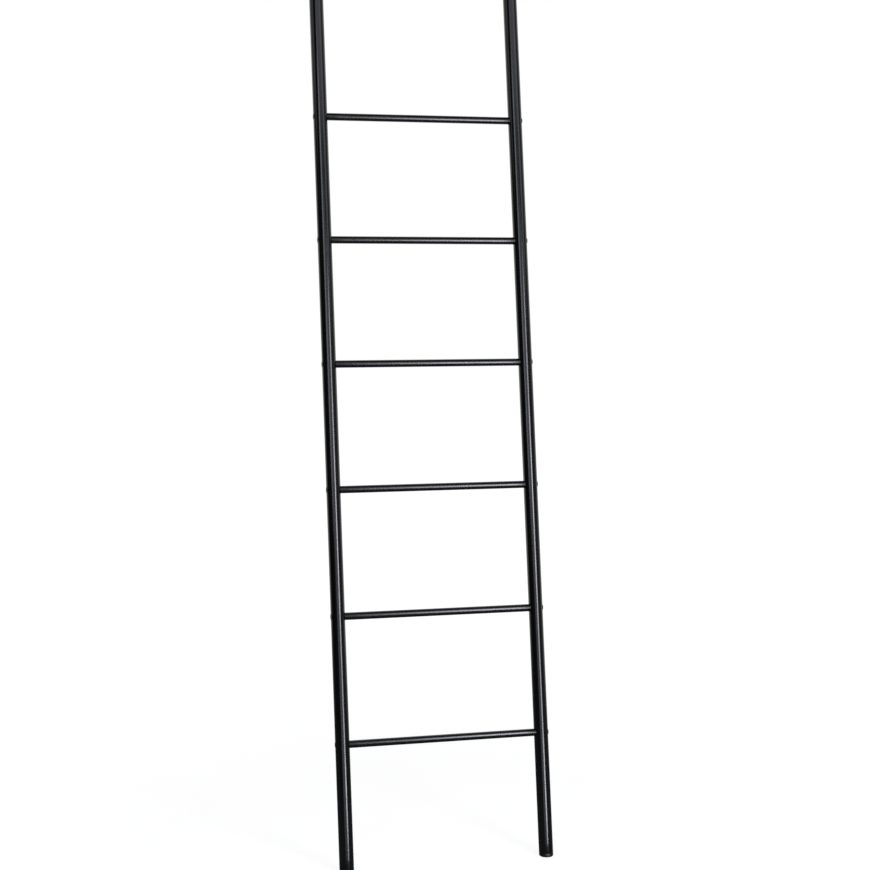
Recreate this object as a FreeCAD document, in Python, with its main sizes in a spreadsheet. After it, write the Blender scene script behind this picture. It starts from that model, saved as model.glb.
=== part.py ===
import FreeCAD, Part
import math
import os

import Sketcher
from FreeCAD import Placement, Rotation, Vector

# Blanket ladder: two round steel rails and six thinner rungs, bolted together with countersunk screws.
#
# Frame: millimetres, +Z up from the floor, +X to the right seen from the front, +Y towards the wall.
# The ladder is modelled as it stands in use, leaning back on its feet, with the origin on the floor
# under the middle of the whole ladder. Every piece is drawn upright in a local frame, X along the
# rungs and Z along the rails, and its placement tips it by the lean angle about the X direction.

SIZES = {
    "lean_angle": 9.0,              # degrees from the vertical
    "rail_diameter": 25.0,
    "rail_wall": 1.5,
    "rail_length": 1570.0,          # steel tube alone, without the feet and caps
    "rail_spacing": 359.0,          # centre to centre
    "rung_diameter": 13.0,
    "rung_count": 6,
    "rung_pitch": 220.0,
    "lowest_rung": 212.0,           # from the tube's lower end to the lowest rung's axis
    "thread_diameter": 6.0,         # also the rungs' bore, which is tapped at both ends
    "hole_diameter": 6.5,           # screw's clearance hole through the rail
    "head_diameter": 11.0,          # of the screw's 90 degree head, level with the tube's crest
    "screw_length": 45.0,           # head included, as countersunk screws are measured
    "socket_flats": 4.0,            # hexagon socket, across flats
    "socket_depth": 2.4,
    "foot_flange": 5.0,             # visible thickness of a foot, at the rail's axis
    "foot_chamfer": 2.0,
    "stem_length": 18.0,            # part of the foot that is pushed into the tube
    "stem_rib": 2.4,                # thickness of the stem's two crossing ribs
    "cap_wall": 1.5,                # soft cap that is pulled over the tube's top
    "cap_end": 2.5,                 # its thickness above the tube's end
    "cap_length": 25.0,             # end and skirt together
    "cap_chamfer": 1.5,
}

LEFT = -1
RIGHT = 1
SIDE_NAMES = {LEFT: "left", RIGHT: "right"}


class Measure:
    """A size that carries both its number and the sheet formula that gives it."""

    def __init__(self, value, formula=None):
        self.value = float(value)
        self.formula = formula or str(value)

    def __add__(self, other):
        other = as_measure(other)
        return Measure(self.value + other.value, f"({self.formula} + {other.formula})")

    def __sub__(self, other):
        other = as_measure(other)
        return Measure(self.value - other.value, f"({self.formula} - {other.formula})")

    def __mul__(self, other):
        other = as_measure(other)
        return Measure(self.value * other.value, f"({self.formula} * {other.formula})")

    def __truediv__(self, other):
        other = as_measure(other)
        return Measure(self.value / other.value, f"({self.formula} / {other.formula})")

    def __neg__(self):
        return self * -1


def as_measure(number):
    """A plain number as a Measure, and a Measure as it is."""
    return number if isinstance(number, Measure) else Measure(number)


def sine(angle):
    return Measure(math.sin(math.radians(angle.value)), f"sin({angle.formula})")


def cosine(angle):
    return Measure(math.cos(math.radians(angle.value)), f"cos({angle.formula})")


def rail_line_setback(sizes):
    """Y where the rails' axes meet the floor, which centres the ladder's whole depth on Y = 0.

    In front, the ladder ends where the feet's chamfer meets their side; at the back, where the
    caps' chamfer meets theirs, which is what touches the wall.
    """
    lean_radians = math.radians(sizes["lean_angle"])
    foot_radius = sizes["rail_diameter"] / 2
    cap_radius = foot_radius + sizes["cap_wall"]
    cap_corner = sizes["foot_flange"] + sizes["rail_length"] + sizes["cap_end"] - sizes["cap_chamfer"]
    front = sizes["foot_chamfer"] * math.sin(lean_radians) - foot_radius / math.cos(lean_radians)
    back = cap_corner * math.sin(lean_radians) + cap_radius * math.cos(lean_radians)
    return -(front + back) / 2


SIZES["rail_line_y"] = round(rail_line_setback(SIZES), 4)

doc = FreeCAD.newDocument("BlanketLadder")
sheet = doc.addObject("Spreadsheet::Sheet", "Sizes")
for row, (alias, number) in enumerate(SIZES.items(), start=1):
    sheet.set(f"A{row}", alias.replace("_", " "))
    sheet.set(f"B{row}", str(number))
    sheet.setAlias(f"B{row}", alias)
doc.recompute()


def cell(alias):
    return Measure(SIZES[alias], f"Sizes.{alias}")


lean = cell("lean_angle")
rail_radius = cell("rail_diameter") / 2
rail_bore = rail_radius - cell("rail_wall")
half_spacing = cell("rail_spacing") / 2
rung_radius = cell("rung_diameter") / 2
hole_radius = cell("hole_diameter") / 2
thread_radius = cell("thread_diameter") / 2
head_radius = cell("head_diameter") / 2
flange = cell("foot_flange")
cap_radius = rail_radius + cell("cap_wall")
cone_apex = rail_radius - head_radius   # where the head's 90 degree cone would close, from the rail's axis


def rung_height(number):
    """Height of a rung's axis along the rails, above the floor point of the rails' axes."""
    return flange + cell("lowest_rung") + cell("rung_pitch") * (number - 1)


# ---------------------------------------------------------------- ways of drawing

def bind(thing, path, measure):
    thing.setExpression(path, as_measure(measure).formula)


def new_body(label, across, along):
    """A body whose own origin lies at X = across and at the height along, measured on the rails' axes."""
    body = doc.addObject("PartDesign::Body", label)
    body.Label = label
    body.Placement = Placement(Vector(), Rotation(Vector(1, 0, 0), -lean.value))
    bind(body, "Placement.Base.x", across)
    bind(body, "Placement.Base.y", cell("rail_line_y") + along * sine(lean))
    bind(body, "Placement.Base.z", along * cosine(lean))
    bind(body, "Placement.Rotation.Angle", -lean)
    return body


def new_pair(label, members):
    """Two like pieces, one at each side, that share a node as separate solids."""
    pair = doc.addObject("Part::Compound", label)
    pair.Label = label
    pair.Links = members
    return pair


def origin_item(body, role):
    return next(item for item in body.Origin.OriginFeatures if item.Role == role)


def new_sketch(body, name, plane, up=None, lift=None):
    """An empty sketch on one of the body's own origin planes, moved up in that plane or lifted off it."""
    sketch = body.newObject("Sketcher::SketchObject", name)
    sketch.AttachmentSupport = (origin_item(body, plane), [""])
    sketch.MapMode = "FlatFace"
    for axis, distance in (("y", up), ("z", lift)):
        if distance is not None:
            bind(sketch, f"AttachmentOffset.Base.{axis}", distance)
    return sketch


def draw_circle(sketch, name, centre_x, radius):
    """A circle centred on the sketch's X axis."""
    centre_x = as_measure(centre_x)
    curve = sketch.addGeometry(Part.Circle(Vector(centre_x.value, 0, 0), Vector(0, 0, 1), radius.value))
    places = (("DistanceX", centre_x, f"{name}_x"), ("DistanceY", as_measure(0), f"{name}_y"))
    for kind, distance, label in places:
        index = sketch.addConstraint(Sketcher.Constraint(kind, -1, 1, curve, 3, distance.value))
        sketch.renameConstraint(index, label)
        bind(sketch, f"Constraints.{label}", distance)
    index = sketch.addConstraint(Sketcher.Constraint("Radius", curve, radius.value))
    sketch.renameConstraint(index, f"{name}_radius")
    bind(sketch, f"Constraints.{name}_radius", radius)


def draw_outline(sketch, corners):
    """A closed outline of straight lines, each corner held by its own distances from the origin."""
    corners = [(as_measure(x), as_measure(y)) for x, y in corners]
    points = [Vector(x.value, y.value, 0) for x, y in corners]
    for start, end in zip(points, points[1:] + points[:1]):
        sketch.addGeometry(Part.LineSegment(start, end))
    for line in range(len(points)):
        following = (line + 1) % len(points)
        sketch.addConstraint(Sketcher.Constraint("Coincident", line, 2, following, 1))
    for line, corner in enumerate(corners):
        for kind, letter, distance in (("DistanceX", "x", corner[0]), ("DistanceY", "y", corner[1])):
            label = f"corner_{line + 1}_{letter}"
            index = sketch.addConstraint(Sketcher.Constraint(kind, -1, 1, line, 1, distance.value))
            sketch.renameConstraint(index, label)
            bind(sketch, f"Constraints.{label}", distance)


def pad(body, name, sketch, length, symmetric=False, flipped=False):
    """A boss along the sketch's normal, or against it where flipped."""
    feature = body.newObject("PartDesign::Pad", name)
    feature.Profile = sketch
    feature.SideType = "Symmetric" if symmetric else "One side"
    feature.Reversed = flipped
    bind(feature, "Length", length)
    return feature


def pocket(body, name, sketch, depth, symmetric=False, flipped=False):
    """A cut against the sketch's normal, or along it where flipped."""
    feature = body.newObject("PartDesign::Pocket", name)
    feature.Profile = sketch
    feature.SideType = "Symmetric" if symmetric else "One side"
    feature.Reversed = flipped
    bind(feature, "Length", depth)
    return feature


def turned(body, kind, name, sketch):
    """A Revolution or a Groove: the sketch turned once about its own horizontal axis."""
    feature = body.newObject(f"PartDesign::{kind}", name)
    feature.Profile = sketch
    feature.ReferenceAxis = (sketch, ["H_Axis"])
    feature.Angle = 360
    return feature


def chamfer_rim(body, radius, height, size):
    """Chamfers the rim of a foot or cap: the round edge that comes nearest to a radius and a height."""
    doc.recompute()
    base = body.Tip
    edges = base.Shape.Edges

    def off_the_rim(number):
        box = edges[number].BoundBox
        reach = max(box.XMax, -box.XMin)
        return abs(reach - radius.value) + abs(box.Center.z - height.value)

    closest = min(range(len(edges)), key=off_the_rim)
    chamfer = body.newObject("PartDesign::Chamfer", "RimChamfer")
    chamfer.Base = (base, [f"Edge{closest + 1}"])
    bind(chamfer, "Size", size)
    body.Tip = chamfer


# ---------------------------------------------------------------- rails

def make_rail(side):
    """A tube drilled for a screw at every rung, and countersunk through its outer wall for the head."""
    body = new_body(f"{SIDE_NAMES[side]}_rail", half_spacing * side, flange)

    section = new_sketch(body, "TubeSection", "XY_Plane")
    draw_circle(section, "outside", 0, rail_radius)
    draw_circle(section, "inside", 0, rail_bore)
    pad(body, "Tube", section, cell("rail_length"))

    beyond = rail_radius * 1.2
    seat = new_sketch(body, "SeatProfile", "XZ_Plane", up=cell("lowest_rung"))
    draw_outline(seat, [
        (beyond * side, 0),
        (beyond * side, beyond - cone_apex),
        ((cone_apex + hole_radius) * side, hole_radius),
        (-beyond * side, hole_radius),
        (-beyond * side, 0),
    ])
    first_seat = turned(body, "Groove", "SeatAndHole", seat)

    seats = body.newObject("PartDesign::LinearPattern", "SeatsAndHoles")
    seats.Originals = [first_seat]
    seats.Direction = (origin_item(body, "Z_Axis"), [""])
    seats.Mode = "Extent"
    bind(seats, "Length", cell("rung_pitch") * (cell("rung_count") - 1))
    bind(seats, "Occurrences", cell("rung_count"))
    body.Tip = seats
    return body


# ---------------------------------------------------------------- rungs and their screws

def make_rung(number):
    """A heavy-walled tube whose ends are coped to saddle the round rails.

    Its bore is tapped at both ends. The thread is drawn as a plain bore at its nominal diameter.
    """
    body = new_body(f"rung_{number}", as_measure(0), rung_height(number))

    section = new_sketch(body, "TubeSection", "YZ_Plane")
    draw_circle(section, "outside", 0, rung_radius)
    draw_circle(section, "bore", 0, thread_radius)
    pad(body, "Tube", section, cell("rail_spacing"), symmetric=True)

    copes = new_sketch(body, "RailOutlines", "XY_Plane")
    for side in (LEFT, RIGHT):
        draw_circle(copes, f"{SIDE_NAMES[side]}_rail", half_spacing * side, rail_radius)
    pocket(body, "CopedEnds", copes, cell("rung_diameter") * 2, symmetric=True)
    return body


def make_screw(number, side):
    """A countersunk screw through the rail into the rung's bore, its head level with the tube's crest."""
    body = new_body(f"{SIDE_NAMES[side]}_screw_{number}", half_spacing * side, rung_height(number))
    tip = rail_radius - cell("screw_length")
    profile = new_sketch(body, "ScrewProfile", "XZ_Plane")
    draw_outline(profile, [
        (rail_radius * side, 0),
        (rail_radius * side, head_radius),
        ((cone_apex + thread_radius) * side, thread_radius),
        (tip * side, thread_radius),
        (tip * side, 0),
    ])
    turned(body, "Revolution", "HeadAndShank", profile)

    corner_radius = cell("socket_flats") / math.sqrt(3)
    hexagon = new_sketch(body, "SocketOutline", "YZ_Plane", lift=rail_radius * side)
    draw_outline(hexagon, [
        (corner_radius * round(math.cos(math.radians(angle)), 6),
         corner_radius * round(math.sin(math.radians(angle)), 6))
        for angle in range(0, 360, 60)
    ])
    pocket(body, "HexSocket", hexagon, cell("socket_depth"), flipped=side == LEFT)
    return body


# ---------------------------------------------------------------- caps and feet

def make_cap(side):
    """A soft cap pulled over a rail's top. The corner below its chamfer is what leans on the wall."""
    body = new_body(f"{SIDE_NAMES[side]}_cap", half_spacing * side, flange + cell("rail_length"))
    outline = new_sketch(body, "CapOutline", "XY_Plane", lift=cell("cap_end"))
    draw_circle(outline, "rim", 0, cap_radius)
    pad(body, "Cap", outline, cell("cap_length"), flipped=True)
    chamfer_rim(body, cap_radius, cell("cap_end"), cell("cap_chamfer"))

    socket = new_sketch(body, "TubeOutline", "XY_Plane")
    draw_circle(socket, "tube", 0, rail_radius)
    pocket(body, "TubeSocket", socket, cell("cap_length"))
    return body


def add_stem(body):
    """The foot's stem, which grips the tube's bore: two crossing ribs with ends as round as the bore."""
    section = new_sketch(body, "StemSection", "XY_Plane")
    draw_circle(section, "bore", 0, rail_bore)
    pad(body, "Stem", section, cell("stem_length"))

    near = cell("stem_rib") / 2
    quarter = new_sketch(body, "QuarterBetweenRibs", "XY_Plane")
    draw_outline(quarter, [(near, near), (rail_radius, near), (rail_radius, rail_radius), (near, rail_radius)])
    first_quarter = pocket(body, "FirstQuarter", quarter, cell("stem_length"), flipped=True)

    quarters = body.newObject("PartDesign::PolarPattern", "Quarters")
    quarters.Originals = [first_quarter]
    quarters.Axis = (origin_item(body, "Z_Axis"), [""])
    quarters.Angle = 360
    quarters.Occurrences = 4
    body.Tip = quarters


def make_foot(side):
    """The plug in a rail's lower end, cut off at the lean angle so that it sits flat on the floor."""
    body = new_body(f"{SIDE_NAMES[side]}_foot", half_spacing * side, flange)
    disc = new_sketch(body, "FlangeOutline", "XY_Plane")
    draw_circle(disc, "rim", 0, rail_radius)
    pad(body, "Blank", disc, flange * 2, flipped=True)

    reach = rail_radius * 2
    rise = reach * sine(lean) / cosine(lean)
    below_floor = new_sketch(body, "BelowFloor", "YZ_Plane")
    draw_outline(below_floor, [
        (-reach, -flange - rise),
        (reach, -flange + rise),
        (reach, -flange * 4),
        (-reach, -flange * 4),
    ])
    pocket(body, "CutToFloor", below_floor, reach * 2, symmetric=True)
    chamfer_rim(body, rail_radius, -flange, cell("foot_chamfer"))
    add_stem(body)
    return body


# ---------------------------------------------------------------- the whole ladder

SIDES = (LEFT, RIGHT)
nodes = [make_rail(side) for side in SIDES]
nodes.append(new_pair("feet", [make_foot(side) for side in SIDES]))
nodes.append(new_pair("top_caps", [make_cap(side) for side in SIDES]))
for number in range(1, SIZES["rung_count"] + 1):
    nodes.append(make_rung(number))
    nodes.append(new_pair(f"screws_{number}", [make_screw(number, side) for side in SIDES]))
doc.recompute()


def check_document():
    """Stops on a failed feature, an empty or broken shape, or a feature that changed nothing."""
    for thing in doc.Objects:
        if "Invalid" in thing.State or "Error" in thing.State:
            raise RuntimeError(f"{thing.Label} failed: {thing.State}")
        base = getattr(thing, "BaseFeature", None)
        if base is None or not thing.TypeId.startswith("PartDesign::") or thing.TypeId == "PartDesign::Body":
            continue
        if abs(thing.Shape.Volume - base.Shape.Volume) < 0.01:
            raise RuntimeError(f"{thing.Label} changed nothing")
    for node in nodes:
        solids_wanted = len(getattr(node, "Links", [node]))
        if node.Shape.isNull() or not node.Shape.isValid() or len(node.Shape.Solids) != solids_wanted:
            raise RuntimeError(f"{node.Label} is not {solids_wanted} valid solid(s)")


check_document()
os.makedirs("parts", exist_ok=True)
whole = FreeCAD.BoundBox()
for node in nodes:
    node.Shape.exportStep(f"parts/{node.Label}.step")
    whole.add(node.Shape.optimalBoundingBox(False))
print(f"{len(nodes)} nodes, {sum(len(node.Shape.Solids) for node in nodes)} pieces, whole box {whole}")
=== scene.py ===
"""A black steel blanket ladder: two round rails and six rungs, bolted with countersunk screws.

Metres throughout. +Z is up, +X to the right seen from the front and +Y towards the wall. The
ladder leans back, so each piece is worked out upright, in a local frame of its own rail or rung
with X along the rungs and Z along the rails, and then tipped and put in its place.
"""
import math

import bmesh
import bpy
import numpy as np
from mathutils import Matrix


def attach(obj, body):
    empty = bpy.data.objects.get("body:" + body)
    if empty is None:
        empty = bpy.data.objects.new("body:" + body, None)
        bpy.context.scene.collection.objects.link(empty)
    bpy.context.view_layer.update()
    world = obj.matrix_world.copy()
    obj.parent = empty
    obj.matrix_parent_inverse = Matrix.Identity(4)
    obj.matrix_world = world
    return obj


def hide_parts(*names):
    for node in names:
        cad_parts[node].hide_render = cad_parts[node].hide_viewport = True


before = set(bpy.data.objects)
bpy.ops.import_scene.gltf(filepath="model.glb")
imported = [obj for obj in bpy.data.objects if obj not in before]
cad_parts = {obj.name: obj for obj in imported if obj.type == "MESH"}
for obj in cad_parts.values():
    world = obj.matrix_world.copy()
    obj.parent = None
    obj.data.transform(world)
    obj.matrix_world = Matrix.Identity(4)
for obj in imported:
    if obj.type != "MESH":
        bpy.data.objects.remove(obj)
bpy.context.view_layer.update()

MM = 0.001

# The ladder's own sizes. Bores are given by their radius.
LEAN = math.radians(9)
RAIL_RADIUS = 12.5 * MM
RAIL_BORE = 11.0 * MM
RAIL_LENGTH = 1570 * MM
HALF_SPACING = 179.5 * MM
RAIL_LINE_Y = -124.0127 * MM            # where the rails' axes meet the floor
RUNG_RADIUS = 6.5 * MM
RUNG_BORE = 3.0 * MM
RUNG_PITCH = 220 * MM
LOWEST_RUNG = 217 * MM                  # along the rails, above the floor point of their axes
RUNG_COUNT = 6
HOLE_RADIUS = 3.25 * MM
HEAD_RADIUS = 5.5 * MM
CONE_APEX = RAIL_RADIUS - HEAD_RADIUS   # where the head's 90 degree cone would close
SHANK_RADIUS = 3.0 * MM
SCREW_LENGTH = 45 * MM
SCREW_TIP = 0.8 * MM                    # the chamfer on the end of the shank
SOCKET_FLATS = 4.0 * MM
SOCKET_DEPTH = 2.4 * MM
SOCKET_MOUTH = 0.24 * MM                # the chamfer round the socket
MOUTH_BORDER = 0.08 * MM                # the narrow faces round that keep its shading clean
SOCKET_DRILL = 1.92 * MM                # the radius drilled before the hexagon is pressed in
SOCKET_CONE = 0.6 * MM                  # what the drill's point leaves under the socket
FOOT_FLANGE = 5.0 * MM
STEM_LENGTH = 18 * MM
STEM_RIB = 2.4 * MM
STEM_LEAD_IN = 1.0 * MM
STEM_TIP = 0.93                         # how much of the ribs' reach is left at the tip
GATE_RADIUS = 1.5 * MM                  # the small dimple that the mould's gate leaves
GATE_DEPTH = 0.15 * MM
CAP_WALL = 1.5 * MM
CAP_END = 2.5 * MM
CAP_LENGTH = 25 * MM

LEFT, RIGHT = -1, 1
SIDE_NAMES = {LEFT: "left", RIGHT: "right"}

# Small radii that tools, moulds and coating leave
COATED_EDGE = 0.3 * MM
MACHINED_EDGE = 0.2 * MM
FOOT_ROUNDING = 2.5 * MM
CAP_ROUNDING = 2.0 * MM

# How finely the forms are drawn: facets round each, and rows of points along or across them
RAIL_FACETS = 96
RUNG_FACETS = 72
SCREW_FACETS = 96
CAP_FACETS = 96
STRETCH_ROWS = 12                       # on the plain skin between two holes
HOLE_ROWS = 7                           # from a hole's rim to the edge of its window
HOLE_CROWDING = 1.4                     # above 1, those rows lie closer together at the rim
RUNG_ROWS = 9                           # from a rung's middle to one end
SADDLE_ROWS = 4                         # across the wall at that end
ROUNDING_ROWS = 9                       # in a rim's quarter circle
LIP_ROWS = 13                           # in the half circle of a cap's lip
RIB_END_POINTS, RIB_SIDE_POINTS = 7, 8  # in the outline of a foot's stem
MERGE_DISTANCE = 0.002 * MM             # points closer than this are one point

# The window is the patch of a rail's skin that is left for a drilled hole
WINDOW_FACETS = 16
WINDOW_ROWS = 8
WINDOW_ANGLE = math.pi * WINDOW_FACETS / RAIL_FACETS    # half of its width
WINDOW_HEIGHT = 8 * MM                                  # half of its height


# ---------------------------------------------------------------- surfaces

def tipped(points, across, along):
    """Upright local points put in the frame: turned back by the lean about X, then moved onto the
    rails' plane at X = across and at the height along, measured on the rails' axes."""
    x, y, z = points[..., 0] + across, points[..., 1], points[..., 2] + along
    return np.stack([
        x,
        RAIL_LINE_Y + y * math.cos(LEAN) + z * math.sin(LEAN),
        z * math.cos(LEAN) - y * math.sin(LEAN),
    ], -1)


def full_turn(facets):
    """Angles spread evenly round a full circle."""
    return np.linspace(0, 2 * math.pi, facets, endpoint=False)


def on_tube(radius, angle, height):
    """Points of a tube about Z, with the angle counted from +X."""
    angle, height = np.broadcast_arrays(angle, height)
    return np.stack([radius * np.cos(angle), radius * np.sin(angle), height], -1)


def rounded(before, corner, after, steps=4):
    """Rows from before to after that round off the corner between them: the quadratic curve
    (1-t)^2 before + 2 t (1-t) corner + t^2 after, worked out for whole rows of points at once."""
    t = np.linspace(0, 1, steps + 1)[:, None, None]
    return (1 - t) ** 2 * before + 2 * t * (1 - t) * corner + t ** 2 * after


def between(first, last, steps, open_start=False, open_end=False):
    """Rows spread evenly from one row of points to another, with or without its two ends."""
    t = np.linspace(0, 1, steps + 1)[int(open_start):steps + 1 - int(open_end), None, None]
    return first + (last - first) * t


def quads(rows, columns, rows_close, columns_close):
    """The four corners of each cell of a grid of points that are numbered row by row."""
    r, c = np.meshgrid(
        np.arange(rows if rows_close else rows - 1),
        np.arange(columns if columns_close else columns - 1),
        indexing="ij",
    )
    below, right = (r + 1) % rows, (c + 1) % columns
    cells = [r * columns + c, r * columns + right, below * columns + right, below * columns + c]
    return np.stack(cells, -1).reshape(-1, 4)


def make_piece(name, grids, material, node, sharp=38, marks=None):
    """One closed piece from its grids of points, each given as (points, rows_close, columns_close).

    Neighbouring grids share their edge points, which are merged, and so are the points that
    coincide at a pole. Edges that turn by more than sharp degrees stay sharp. marks is a number
    for each point that the material reads.
    """
    points, cells, count = [], [], 0
    for grid, rows_close, columns_close in grids:
        rows, columns = grid.shape[:2]
        points.append(grid.reshape(-1, 3))
        cells.append(quads(rows, columns, rows_close, columns_close) + count)
        count += rows * columns
    mesh = bpy.data.meshes.new(name)
    mesh.from_pydata(np.concatenate(points), [], np.concatenate(cells).tolist())
    if marks is not None:
        layer = mesh.attributes.new("from_axis_mm", "FLOAT", "POINT")
        layer.data.foreach_set("value", marks.astype(np.float32).ravel())
    shell = bmesh.new()
    shell.from_mesh(mesh)
    bmesh.ops.remove_doubles(shell, verts=shell.verts, dist=MERGE_DISTANCE)
    bmesh.ops.recalc_face_normals(shell, faces=shell.faces)
    if shell.calc_volume(signed=True) < 0:
        bmesh.ops.reverse_faces(shell, faces=shell.faces)
    shell.to_mesh(mesh)
    shell.free()
    mesh.polygons.foreach_set("use_smooth", np.ones(len(mesh.polygons), bool))
    mesh.set_sharp_from_angle(angle=math.radians(sharp))
    mesh.materials.append(material)
    piece = bpy.data.objects.new(name, mesh)
    bpy.context.scene.collection.objects.link(piece)
    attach(piece, "root")
    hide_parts(node)
    return piece


# ---------------------------------------------------------------- rails

def window_edge():
    """The angles and heights of the points round a hole's window, anticlockwise from a corner."""
    up = np.linspace(-WINDOW_HEIGHT, WINDOW_HEIGHT, WINDOW_ROWS, endpoint=False)
    over = np.linspace(WINDOW_ANGLE, -WINDOW_ANGLE, WINDOW_FACETS, endpoint=False)
    side, top = np.full(WINDOW_ROWS, WINDOW_ANGLE), np.full(WINDOW_FACETS, WINDOW_HEIGHT)
    return np.concatenate([side, over, -side, -over]), np.concatenate([up, top, -up, -top])


def rim_of(radius, direction, seat):
    """A drilled rim on the tube: its angle and height for each direction about the screw's axis.

    A plain hole's rim is hole-radius away from that axis. A seat's rim is where the 90 degree cone
    comes through the tube: (apex + r)^2 + (r cos d)^2 = radius^2, solved for the reach r.
    """
    if seat:
        spread = 1 + np.cos(direction) ** 2
        root = np.sqrt(CONE_APEX ** 2 + spread * (radius ** 2 - CONE_APEX ** 2))
        reach = (root - CONE_APEX) / spread
    else:
        reach = np.full_like(direction, HOLE_RADIUS)
    return np.arcsin(reach * np.cos(direction) / radius), reach * np.sin(direction)


def drilled(height, seat):
    """The skin round one drilled hole, from its window's edge on the tube's outside, over the
    softened rim, through the wall, and out to the window's edge on the inside of the tube.

    On the tube each line runs straight in angle and height from the rim to the window's edge, and
    through the wall it is the straight line between the two rims. A seat lies at the angle 0, and
    the plain hole through the tube's other wall at 180 degrees.
    """
    edge_angle, edge_height = window_edge()
    direction = np.arctan2(edge_height, RAIL_RADIUS * edge_angle)
    turn = 0 if seat else math.pi
    skins = []
    for radius in (RAIL_RADIUS, RAIL_BORE):
        rim_angle, rim_height = rim_of(radius, direction, seat)
        length = np.hypot(radius * (edge_angle - rim_angle), edge_height - rim_height)
        start = COATED_EDGE / length
        share = start + (1 - start) * (np.linspace(0, 1, HOLE_ROWS)[:, None] ** HOLE_CROWDING)
        lines = on_tube(
            radius,
            turn + rim_angle + (edge_angle - rim_angle) * share,
            height + rim_height + (edge_height - rim_height) * share,
        )
        skins.append((lines, on_tube(radius, turn + rim_angle, height + rim_height)))
    (outer, outer_rim), (inner, inner_rim) = skins
    down = inner_rim - outer_rim
    down /= np.linalg.norm(down, axis=-1, keepdims=True)
    wall_start, wall_end = outer_rim + down * COATED_EDGE, inner_rim - down * MACHINED_EDGE
    return np.concatenate([
        outer[::-1],
        rounded(outer[0], outer_rim, wall_start)[1:],
        between(wall_start, wall_end, steps=2, open_start=True),
        rounded(wall_end, inner_rim, inner[0], steps=2)[1:],
        inner[1:],
    ])


def tube_end(bottom):
    """A tube's cut end: outside, rounded outer corner, flat ring, rounded inner corner, inside."""
    turn = full_turn(RAIL_FACETS)
    end = 0.0 if bottom else RAIL_LENGTH
    inward = COATED_EDGE if bottom else -COATED_EDGE
    outer = [on_tube(RAIL_RADIUS, turn, end + inward), on_tube(RAIL_RADIUS, turn, end),
             on_tube(RAIL_RADIUS - COATED_EDGE, turn, end)]
    inner = [on_tube(RAIL_BORE + COATED_EDGE, turn, end), on_tube(RAIL_BORE, turn, end),
             on_tube(RAIL_BORE, turn, end + inward)]
    return np.concatenate([rounded(*outer), rounded(*inner)])


def make_rail(side, material):
    """A drilled and countersunk tube, each stretch of plain skin a grid of angle and height."""
    full = full_turn(RAIL_FACETS)
    flank_points = RAIL_FACETS // 2 - WINDOW_FACETS + 1
    flank = np.linspace(WINDOW_ANGLE, math.pi - WINDOW_ANGLE, flank_points)
    heights = LOWEST_RUNG - FOOT_FLANGE + RUNG_PITCH * np.arange(RUNG_COUNT)
    starts = np.concatenate([[COATED_EDGE], heights + WINDOW_HEIGHT])
    ends = np.concatenate([heights - WINDOW_HEIGHT, [RAIL_LENGTH - COATED_EDGE]])

    grids = [(tube_end(True), False, True), (tube_end(False), False, True)]
    for radius in (RAIL_RADIUS, RAIL_BORE):
        for start, end in zip(starts, ends):
            rows = np.linspace(start, end, STRETCH_ROWS)[:, None]
            grids.append((on_tube(radius, full, rows), False, True))
        for height in heights:
            rows = height + np.linspace(-WINDOW_HEIGHT, WINDOW_HEIGHT, WINDOW_ROWS + 1)[:, None]
            for turn in (0, math.pi):
                grids.append((on_tube(radius, flank + turn, rows), False, False))
    for height in heights:
        for seat in (True, False):
            grids.append((drilled(height, seat), False, True))

    outward = np.array([side, 1, 1])
    placed = [
        (tipped(points * outward, side * HALF_SPACING, FOOT_FLANGE), *closes)
        for points, *closes in grids
    ]
    name = SIDE_NAMES[side]
    return make_piece(f"{name}_rail_tube", placed, material, f"{name}_rail")


# ---------------------------------------------------------------- rungs and screws

def make_rung(number, material):
    """A thick-walled tube whose ends saddle the round rails.

    Its skin closes on itself both ways: round the tube by an angle, and along a profile that runs
    out over the outside, in over the saddle and back through the bore. At a distance r from the
    axis and an angle a, an end lies at half the spacing less sqrt(rail radius^2 - (r cos a)^2).
    """
    turn = full_turn(RUNG_FACETS)

    def ring(radius, short_of_end=0.0, share=1.0):
        y, z = radius * np.cos(turn), radius * np.sin(turn)
        end = HALF_SPACING - np.sqrt(RAIL_RADIUS ** 2 - y ** 2) - short_of_end
        return np.stack([end * share, y, z], -1)[None]

    def run(radius, shares):
        return np.concatenate([ring(radius, COATED_EDGE, share) for share in shares])

    shares = np.linspace(0, 1, RUNG_ROWS)
    saddle = np.linspace(RUNG_RADIUS - COATED_EDGE, RUNG_BORE, SADDLE_ROWS)
    half = np.concatenate([
        run(RUNG_RADIUS, shares),
        rounded(ring(RUNG_RADIUS, COATED_EDGE), ring(RUNG_RADIUS), ring(saddle[0]))[1:],
        *[ring(radius) for radius in saddle[1:]],
        run(RUNG_BORE, shares[::-1]),
    ])
    other_half = (half * np.array([-1, 1, 1]))[::-1][1:-1]
    along = LOWEST_RUNG + RUNG_PITCH * (number - 1)
    skin = tipped(np.concatenate([half, other_half]), 0, along)
    return make_piece(f"rung_{number}_bar", [(skin, True, True)], material,
                      f"rung_{number}")


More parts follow.
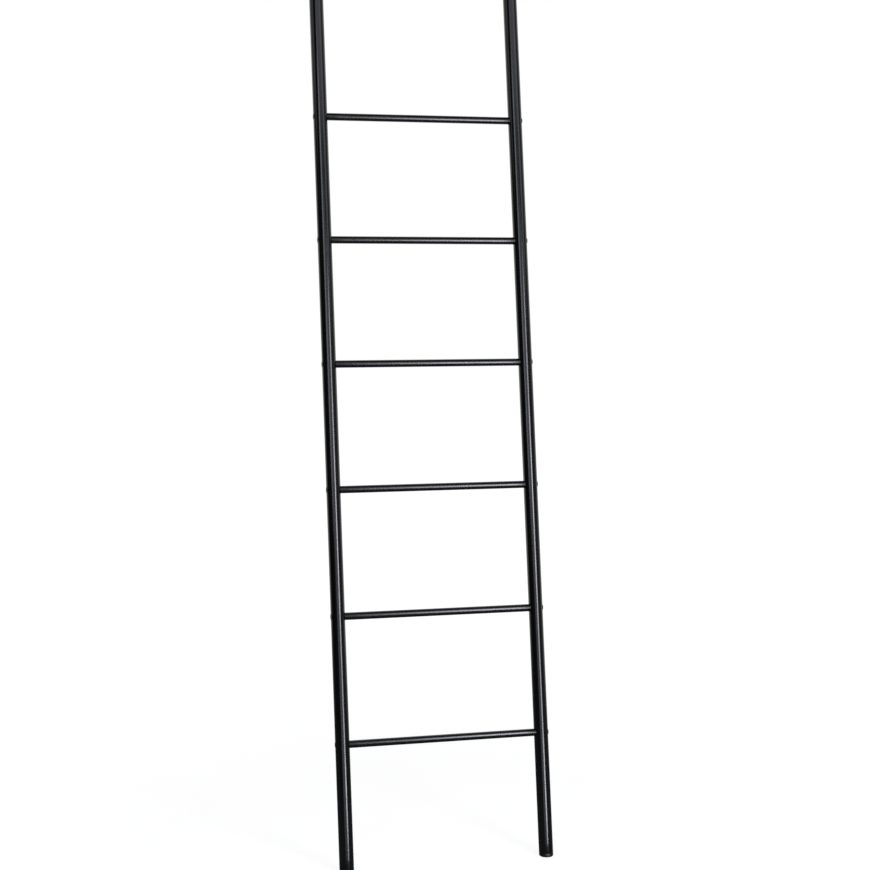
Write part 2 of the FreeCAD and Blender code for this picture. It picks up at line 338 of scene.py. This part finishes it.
def make_screw(number, side, material):
    """A countersunk screw, its profile turned about X, with a hexagon socket in the head.

    Each row is a ring at one X. Its radius is the same all round, except in the socket, where it is
    the hexagon's: half the width across flats, over the cosine of the angle from the nearest flat.
    """
    turn = full_turn(SCREW_FACETS)
    flat = SOCKET_FLATS / 2 / np.cos(turn % (math.pi / 3) - math.pi / 6)
    soft = MACHINED_EDGE
    crest, tip = RAIL_RADIUS, RAIL_RADIUS - SCREW_LENGTH
    socket_floor = crest - SOCKET_DEPTH
    neck = CONE_APEX + SHANK_RADIUS
    slope = soft / math.sqrt(2)

    def ring(x, radius):
        radius = np.broadcast_to(radius, turn.shape)
        y, z = radius * np.cos(turn), radius * np.sin(turn)
        return np.stack([np.full(turn.shape, x), y, z], -1)[None]

    face_start = ring(crest, flat + SOCKET_MOUTH + MOUTH_BORDER)
    rim = ring(crest, HEAD_RADIUS - soft)
    shank_start = ring(neck - soft, SHANK_RADIUS)
    rows = np.concatenate([
        ring(socket_floor - SOCKET_CONE, 0),
        ring(socket_floor, SOCKET_DRILL),
        ring(socket_floor, flat),
        ring(crest - SOCKET_MOUTH, flat),
        ring(crest, flat + SOCKET_MOUTH),
        between(face_start, rim, steps=5),
        rounded(rim, ring(crest, HEAD_RADIUS), ring(crest - slope, HEAD_RADIUS - slope))[1:],
        rounded(ring(neck + soft, SHANK_RADIUS + soft), ring(neck, SHANK_RADIUS), shank_start),
        between(shank_start, ring(tip + SCREW_TIP, SHANK_RADIUS), steps=4, open_start=True),
        ring(tip, SHANK_RADIUS - SCREW_TIP),
        ring(tip, 0),
    ])
    from_axis = np.hypot(rows[..., 1], rows[..., 2]) / MM
    along = LOWEST_RUNG + RUNG_PITCH * (number - 1)
    placed = tipped(rows * np.array([side, 1, 1]), side * HALF_SPACING, along)
    return make_piece(f"{SIDE_NAMES[side]}_screw_{number}", [(placed, False, True)], material,
                      f"screws_{number}", sharp=25, marks=from_axis)


# ---------------------------------------------------------------- feet and caps

def cross_outline():
    """The directions of the points of the stem's section, and how far each lies from the axis.

    The section is two crossing ribs whose ends are as round as the bore. Along a rib's side, which
    is straight, the reach is half the rib's thickness over the sine of the angle from the rib.
    """
    half_rib = STEM_RIB / 2
    corner = math.asin(half_rib / RAIL_BORE)
    end = np.linspace(-corner, corner, RIB_END_POINTS)
    out = np.linspace(RAIL_BORE * math.cos(corner), half_rib, RIB_SIDE_POINTS)
    side = np.arctan2(half_rib, out)[1:]
    quarter = np.concatenate([end, side, (math.pi / 2 - side)[::-1][1:]])
    from_rib = np.minimum(abs(quarter), math.pi / 2 - quarter)
    straight = half_rib / np.maximum(np.sin(from_rib), 1e-9)     # kept finite along the rib itself
    turns = np.arange(4)[:, None] * math.pi / 2
    return (turns + quarter).ravel(), np.tile(np.minimum(RAIL_BORE, straight), 4)


def quarter_circle():
    """The rows of a rounded rim, from the end face to the side: how far each still lies inside the
    side, and how far from the end face, as shares of the rim's radius."""
    return [(1 - math.sin(a), 1 - math.cos(a)) for a in np.linspace(0, math.pi / 2, ROUNDING_ROWS)]


def make_foot(side, material):
    """A foot: a pole at the middle of its sole, the rounded flange, and the crossed stem.

    Upright, with the tube's end at Z = 0 and the stem above it. The sole lies on the floor, at
    Z = y tan(lean) - flange, and its rim is a quarter circle between that slope and the side.
    """
    turn, reach = cross_outline()
    soft = MACHINED_EDGE

    def level(radius, height):
        return on_tube(radius, turn, height)[None]

    def sole(radius, height):
        slope = radius * np.sin(turn) * math.tan(LEAN)
        return on_tube(radius, turn, slope - FOOT_FLANGE + height)[None]

    dimple = [(0, GATE_DEPTH), (0.7 * GATE_RADIUS, 0.8 * GATE_DEPTH), (GATE_RADIUS, 0)]
    rows = np.concatenate([
        *[sole(radius, depth) for radius, depth in dimple],
        between(sole(GATE_RADIUS, 0), sole(RAIL_RADIUS - FOOT_ROUNDING, 0), steps=3,
                open_start=True, open_end=True),
        *[sole(RAIL_RADIUS - FOOT_ROUNDING * inside, FOOT_ROUNDING * up)
          for inside, up in quarter_circle()],
        rounded(level(RAIL_RADIUS, -soft), level(RAIL_RADIUS, 0), level(RAIL_RADIUS - soft, 0)),
        level(reach, 0),
        level(reach, STEM_LENGTH - STEM_LEAD_IN),
        level(reach * STEM_TIP, STEM_LENGTH),
        level(0, STEM_LENGTH),
    ])
    placed = tipped(rows, side * HALF_SPACING, FOOT_FLANGE)
    return make_piece(f"{SIDE_NAMES[side]}_foot", [(placed, False, True)], material,
                      "feet")


def make_cap(side, material):
    """A soft cap over a rail's top: its section, from the pole on top, over the rounded rim, down
    the skirt to its soft lip and back up inside against the tube, turned about the rail's axis."""
    turn = full_turn(CAP_FACETS)
    outside, lip = RAIL_RADIUS + CAP_WALL, CAP_END - CAP_LENGTH
    soft = CAP_WALL / 2

    def ring(radius, height):
        return on_tube(radius, turn, height)[None]

    rows = np.concatenate([
        ring(0, CAP_END),
        between(ring(0, CAP_END), ring(outside - CAP_ROUNDING, CAP_END), steps=3,
                open_start=True, open_end=True),
        *[ring(outside - CAP_ROUNDING * inside, CAP_END - CAP_ROUNDING * down)
          for inside, down in quarter_circle()],
        *[ring(outside - soft * (1 - math.cos(a)), lip + soft * (1 - math.sin(a)))
          for a in np.linspace(0, math.pi, LIP_ROWS)],
        ring(RAIL_RADIUS, 0), ring(0, 0),
    ])
    placed = tipped(rows, side * HALF_SPACING, FOOT_FLANGE + RAIL_LENGTH)
    return make_piece(f"{SIDE_NAMES[side]}_cap", [(placed, False, True)], material,
                      "top_caps")


# ---------------------------------------------------------------- shader nodes

NOISE_SPAN = (0.3, 0.7)      # most of a noise's values lie between these


def linear(code):
    """An sRGB hex colour as the linear colour that the shaders take."""
    parts = np.array([int(code[i:i + 2], 16) for i in (1, 3, 5)]) / 255
    straight = np.where(parts <= 0.04045, parts / 12.92, ((parts + 0.055) / 1.055) ** 2.4)
    return (*straight.tolist(), 1.0)


def add(tree, kind, inputs=None, **settings):
    """Adds a node, sets its properties, and sets each input or links it to a node's output."""
    made = tree.nodes.new(kind)
    for name, value in settings.items():
        setattr(made, name, value)
    for name, value in (inputs or {}).items():
        if isinstance(value, bpy.types.NodeSocket):
            tree.links.new(value, made.inputs[name])
        else:
            made.inputs[name].default_value = value
    return made


def object_place(tree):
    """The place on the object, in metres."""
    return add(tree, "ShaderNodeTexCoord").outputs["Object"]


def lumps(tree, place, size_mm, detail, roughness=0.5):
    """Noise from 0 to 1 whose lumps are about that many millimetres across."""
    return add(tree, "ShaderNodeTexNoise", {
        "Vector": place, "Scale": 1 / (size_mm * MM), "Detail": detail, "Roughness": roughness,
    }).outputs["Fac"]


def mixed(tree, factor, dark, light):
    """A colour between two hex colours."""
    return add(tree, "ShaderNodeMix", {
        "Factor": factor, "A": linear(dark), "B": linear(light),
    }, data_type="RGBA").outputs[2]


def ramp(tree, value, start, end, low, high):
    """A number that runs from low to high while the value runs from start to end."""
    return add(tree, "ShaderNodeMapRange", {
        "Value": value, "From Min": start, "From Max": end, "To Min": low, "To Max": high,
    }).outputs["Result"]


def reckon(tree, operation, *values):
    """The result of a Math node on one or two values."""
    return add(tree, "ShaderNodeMath", dict(enumerate(values)), operation=operation).outputs[0]


def relief(tree, height, depth_mm, strength, over=None):
    """The normal of a bump map that is so many millimetres deep, over another relief's normal."""
    inputs = {"Height": height, "Distance": depth_mm * MM, "Strength": strength}
    if over is not None:
        inputs["Normal"] = over
    return add(tree, "ShaderNodeBump", inputs).outputs["Normal"]


def new_material(name):
    """An empty material, its node tree, and the output that its shader goes to."""
    material = bpy.data.materials.new(name)
    material.use_nodes = True
    tree = material.node_tree
    tree.nodes.clear()
    return material, tree, add(tree, "ShaderNodeOutputMaterial")


# ---------------------------------------------------------------- finishes

# The real rings of turning are 0.1 mm apart. They are drawn wider, so that a close view shows them.
RING_STEP_MM = 0.25


def powder_coat(name, dark, light, smoothest, roughest):
    """Satin black polyester powder coat, sprayed dry on steel tube and baked at about 190 C.

    The melt leaves a pigmented plastic skin: near black, a clear gloss over a faint orange peel,
    with broad soft patches where the film lay thicker and came out a touch glossier. The peel's
    real lumps are 1 to 3 mm across and a hundredth of a millimetre high.
    """
    material, tree, output = new_material(name)
    place = object_place(tree)
    film = lumps(tree, place, size_mm=55, detail=3.0, roughness=0.55)
    peel = lumps(tree, place, size_mm=3.0, detail=2.0, roughness=0.45)
    grain = lumps(tree, place, size_mm=0.5, detail=1.0)
    fine = relief(tree, grain, depth_mm=0.002, strength=0.4)
    shader = add(tree, "ShaderNodeBsdfPrincipled", {
        "Base Color": mixed(tree, film, dark, light), "Metallic": 0.0, "IOR": 1.5,
        "Roughness": ramp(tree, film, *NOISE_SPAN, smoothest, roughest),
        "Normal": relief(tree, peel, depth_mm=0.015, strength=0.6, over=fine),
    })
    tree.links.new(shader.outputs["BSDF"], output.inputs["Surface"])
    return material


def black_oxide():
    """Alloy steel screws, turned, then blackened in hot alkaline salts and oiled.

    The oxide is a thin dark skin that still reflects as metal does, a brownish black with a dull
    oily shine, and the turning tool's fine rings stay visible on the head.
    """
    material, tree, output = new_material("black_oxide_turned_steel")
    from_axis = add(tree, "ShaderNodeAttribute", attribute_name="from_axis_mm").outputs["Fac"]
    blotches = lumps(tree, object_place(tree), size_mm=3, detail=4.0, roughness=0.6)
    rings = reckon(tree, "SINE", reckon(tree, "MULTIPLY", from_axis, 2 * math.pi / RING_STEP_MM))
    shader = add(tree, "ShaderNodeBsdfPrincipled", {
        "Base Color": mixed(tree, blotches, "#1b1a19", "#2e2c2b"), "Metallic": 1.0,
        "Roughness": ramp(tree, blotches, *NOISE_SPAN, low=0.30, high=0.46),
        "Normal": relief(tree, rings, depth_mm=0.004, strength=0.7),
    })
    tree.links.new(shader.outputs["BSDF"], output.inputs["Surface"])
    return material


def moulded_plastic():
    """Black polyethylene feet, injection moulded in a spark-eroded tool.

    The soft plastic copies the tool's fine even grain, so it is duller and a little greyer than
    the coated steel, with a faint waxy shine. The real grain is 0.05 to 0.1 mm; it is drawn at
    0.3 mm, which still only shows close up.
    """
    material, tree, output = new_material("moulded_black_polyethylene")
    place = object_place(tree)
    flow = lumps(tree, place, size_mm=9, detail=2.0)
    grain = lumps(tree, place, size_mm=0.3, detail=2.0, roughness=0.6)
    shader = add(tree, "ShaderNodeBsdfPrincipled", {
        "Base Color": mixed(tree, flow, "#0f0f10", "#161617"), "Metallic": 0.0, "IOR": 1.5,
        "Roughness": ramp(tree, flow, *NOISE_SPAN, low=0.36, high=0.46),
        "Normal": relief(tree, grain, depth_mm=0.01, strength=0.6),
    })
    tree.links.new(shader.outputs["BSDF"], output.inputs["Surface"])
    return material


def dipped_vinyl():
    """Black vinyl caps, made by dipping a hot steel former in liquid plastisol and curing it.

    The skin sets from the melt against air, so it is smooth and softly shiny, with slow waves of
    5 mm or so where the liquid ran before it set, and a few fine pits.
    """
    material, tree, output = new_material("dip_moulded_black_vinyl")
    place = object_place(tree)
    runs = lumps(tree, place, size_mm=5, detail=1.0, roughness=0.4)
    pits = lumps(tree, place, size_mm=0.6, detail=2.0, roughness=0.6)
    pitted = relief(tree, pits, depth_mm=0.006, strength=0.5)
    shader = add(tree, "ShaderNodeBsdfPrincipled", {
        "Base Color": mixed(tree, runs, "#0b0b0c", "#131314"), "Metallic": 0.0, "IOR": 1.53,
        "Roughness": ramp(tree, pits, *NOISE_SPAN, low=0.30, high=0.42),
        "Normal": relief(tree, runs, depth_mm=0.08, strength=0.6, over=pitted),
    })
    tree.links.new(shader.outputs["BSDF"], output.inputs["Surface"])
    return material


# ---------------------------------------------------------------- the studio

# Gloss sees a white backdrop behind the ladder, and a dim room on the camera's side. An edge gives
# where a change starts and ends, as shares of a reflection's heading.
BACKDROP_FACES = (0.249, 0.968, 0.0)    # the way from the camera's side to the backdrop
BACKDROP_EDGE = (0.05, 0.45)            # that way, from the room to the white
ROOM_EDGE = (0.4, 0.9)                  # along +X, from the room's left to its right
ROOM_LEFT, ROOM_RIGHT = 0.02, 0.2       # how bright gloss sees those
ROOM_LIGHT = 0.2                        # the room's even light on matt surfaces

# The camera sees the floor as white, and gloss sees it so only well behind the ladder. Its edges
# are in metres.
FLOOR_REACH = 9.0                       # half its width
FLOOR_LIFT = 0.90                       # the white that the camera sees added near the ladder
LIFT_EDGE = (0.5, 2.5)                  # from the ladder, where that white goes up to 1
GLOSS_EDGE = (0.4, 2.0)                 # behind the ladder, where gloss starts to see it

# The camera, as fitted to the photograph
CAMERA_PLACE = (-0.7809, -3.0683, 1.0082)
CAMERA_DOWN, CAMERA_RIGHT = 4.856, 14.430       # degrees below level, and to the right of +Y
CAMERA_LENS, CAMERA_SENSOR = 74.142, 36.0       # mm
CAMERA_SIGHT = 50                               # how far it sees, in metres

# Each lamp's centre, the point that it faces, its width, height, radiance and colour
SOFTBOXES = {
    "right_softbox": ((0.87, -2.45, 0.92), (0, 0, 0.8), 0.66, 1.8, 9.0, "#f5f6ff"),
    "right_softbox_core": ((0.82, -2.40, 1.02), (0, 0, 0.8), 0.3, 0.60, 11.0, "#f5f6ff"),
    "right_softbox_foot": ((0.98, -2.40, 0.15), (0, 0, 0.2), 0.5, 0.26, 11.0, "#f5f6ff"),
    "left_softbox": ((-1.5, -2.6, 1.9), (0, 0, 0.9), 0.8, 1.5, 3.5, "#e6eeff"),
    "front_panel": ((-0.5, -4.3, 1.4), (0, 0, 0.9), 2.4, 2.8, 1.2, "#e6eeff"),
    "high_panel": ((0.2, -3.0, 3.3), (0, 0, 1.2), 4.5, 1.3, 1.3, "#f0f4ff"),
    "right_high_panel": ((2.2, -2.0, 2.4), (0, 0, 1.3), 1.4, 1.2, 1.4, "#f0f4ff"),
    "left_high_panel": ((-2.6, 0.1, 2.4), (0, 0, 1.4), 1.6, 1.0, 0.7, "#ffffff"),
}


def make_floor():
    """A wide sheet of matt grey paper that looks white in the camera and keeps the shadows."""
    material, tree, output = new_material("matt_pale_paper")
    path = add(tree, "ShaderNodeLightPath")
    place = object_place(tree)
    fibres = lumps(tree, place, size_mm=4, detail=3.0)
    paper = add(tree, "ShaderNodeBsdfDiffuse", {"Color": mixed(tree, fibres, "#7a7a7a", "#808080")})
    behind = add(tree, "ShaderNodeVectorMath", {0: place, 1: BACKDROP_FACES},
                 operation="DOT_PRODUCT").outputs["Value"]
    away = add(tree, "ShaderNodeVectorMath", {0: place}, operation="LENGTH").outputs["Value"]
    white_behind = ramp(tree, behind, *GLOSS_EDGE, low=0.0, high=1.0)
    white_seen = ramp(tree, away, *LIFT_EDGE, low=FLOOR_LIFT, high=1.0)
    in_gloss = reckon(tree, "MULTIPLY", path.outputs["Is Glossy Ray"], white_behind)
    in_view = reckon(tree, "MULTIPLY", path.outputs["Is Camera Ray"], white_seen)
    lift = reckon(tree, "MAXIMUM", in_gloss, in_view)
    glow = add(tree, "ShaderNodeEmission", {"Color": linear("#ffffff"), "Strength": lift})
    both = add(tree, "ShaderNodeAddShader", {0: paper.outputs[0], 1: glow.outputs[0]})
    tree.links.new(both.outputs[0], output.inputs["Surface"])
    far = FLOOR_REACH
    corners = [(-far, -far, 0), (far, -far, 0), (far, far, 0), (-far, far, 0)]
    mesh = bpy.data.meshes.new("floor_sheet")
    mesh.from_pydata(corners, [], [(0, 1, 2, 3)])
    mesh.materials.append(material)
    floor = bpy.data.objects.new("floor_sheet", mesh)
    bpy.context.scene.collection.objects.link(floor)


def make_room():
    """White where the camera looks, and for gloss the white backdrop behind the ladder and the dim
    room before it."""
    world = bpy.data.worlds.new("studio")
    bpy.context.scene.world = world
    world.use_nodes = True
    tree = world.node_tree
    tree.nodes.clear()
    output = add(tree, "ShaderNodeOutputWorld")
    path = add(tree, "ShaderNodeLightPath")
    heading = add(tree, "ShaderNodeTexCoord").outputs["Generated"]
    sideways = add(tree, "ShaderNodeSeparateXYZ", {0: heading}).outputs["X"]
    behind = add(tree, "ShaderNodeVectorMath", {0: heading, 1: BACKDROP_FACES},
                 operation="DOT_PRODUCT").outputs["Value"]
    room = ramp(tree, sideways, *ROOM_EDGE, low=ROOM_LEFT, high=ROOM_RIGHT)
    backdrop = ramp(tree, behind, *BACKDROP_EDGE, low=0.0, high=1.0)
    around = reckon(tree, "MAXIMUM", room, backdrop)
    in_gloss = reckon(tree, "MULTIPLY", path.outputs["Is Glossy Ray"], around)
    seen = reckon(tree, "MAXIMUM", path.outputs["Is Camera Ray"],
                  path.outputs["Is Transmission Ray"])
    on_matt = reckon(tree, "MULTIPLY", path.outputs["Is Diffuse Ray"], ROOM_LIGHT)
    total = reckon(tree, "MAXIMUM", reckon(tree, "MAXIMUM", seen, in_gloss), on_matt)
    sky = add(tree, "ShaderNodeBackground", {"Color": linear("#ffffff"), "Strength": total})
    tree.links.new(sky.outputs[0], output.inputs["Surface"])


def add_softbox(name, centre, target, width, height, radiance, tint):
    """A rectangular lamp that faces the target. Its power is radiance x pi x area."""
    lamp = bpy.data.lights.new(name, "AREA")
    lamp.shape = "RECTANGLE"
    lamp.size, lamp.size_y = width, height
    lamp.energy = radiance * math.pi * width * height
    lamp.color = linear(tint)[:3]
    softbox = bpy.data.objects.new(name, lamp)
    x, y, z = np.subtract(target, centre)
    softbox.location = centre
    softbox.rotation_euler = (math.atan2(math.hypot(x, y), -z), 0, math.atan2(-x, y))
    bpy.context.scene.collection.objects.link(softbox)


def add_camera():
    """The photograph's view, from the left of the ladder and a little above its middle."""
    camera = bpy.data.cameras.new("camera")
    camera.lens, camera.sensor_width = CAMERA_LENS, CAMERA_SENSOR
    camera.clip_end = CAMERA_SIGHT
    holder = bpy.data.objects.new("camera", camera)
    holder.location = CAMERA_PLACE
    holder.rotation_euler = (math.radians(90 - CAMERA_DOWN), 0, math.radians(-CAMERA_RIGHT))
    bpy.context.scene.collection.objects.link(holder)
    bpy.context.scene.camera = holder


# ---------------------------------------------------------------- the whole scene

rail_coat = powder_coat("satin_black_powder_coat_rails", "#050506", "#0a0a0b",
                        smoothest=0.14, roughest=0.19)
rung_coat = powder_coat("satin_black_powder_coat_rungs", "#050506", "#0b0b0c",
                        smoothest=0.16, roughest=0.24)
oxide = black_oxide()
plastic = moulded_plastic()
vinyl = dipped_vinyl()

for side in (LEFT, RIGHT):
    make_rail(side, rail_coat)
    make_foot(side, plastic)
    make_cap(side, vinyl)
    for number in range(1, RUNG_COUNT + 1):
        make_screw(number, side, oxide)
for number in range(1, RUNG_COUNT + 1):
    make_rung(number, rung_coat)

add_camera()
make_floor()
make_room()
for name, settings in SOFTBOXES.items():
    add_softbox(name, *settings)

bpy.context.scene.view_settings.view_transform = "Standard"
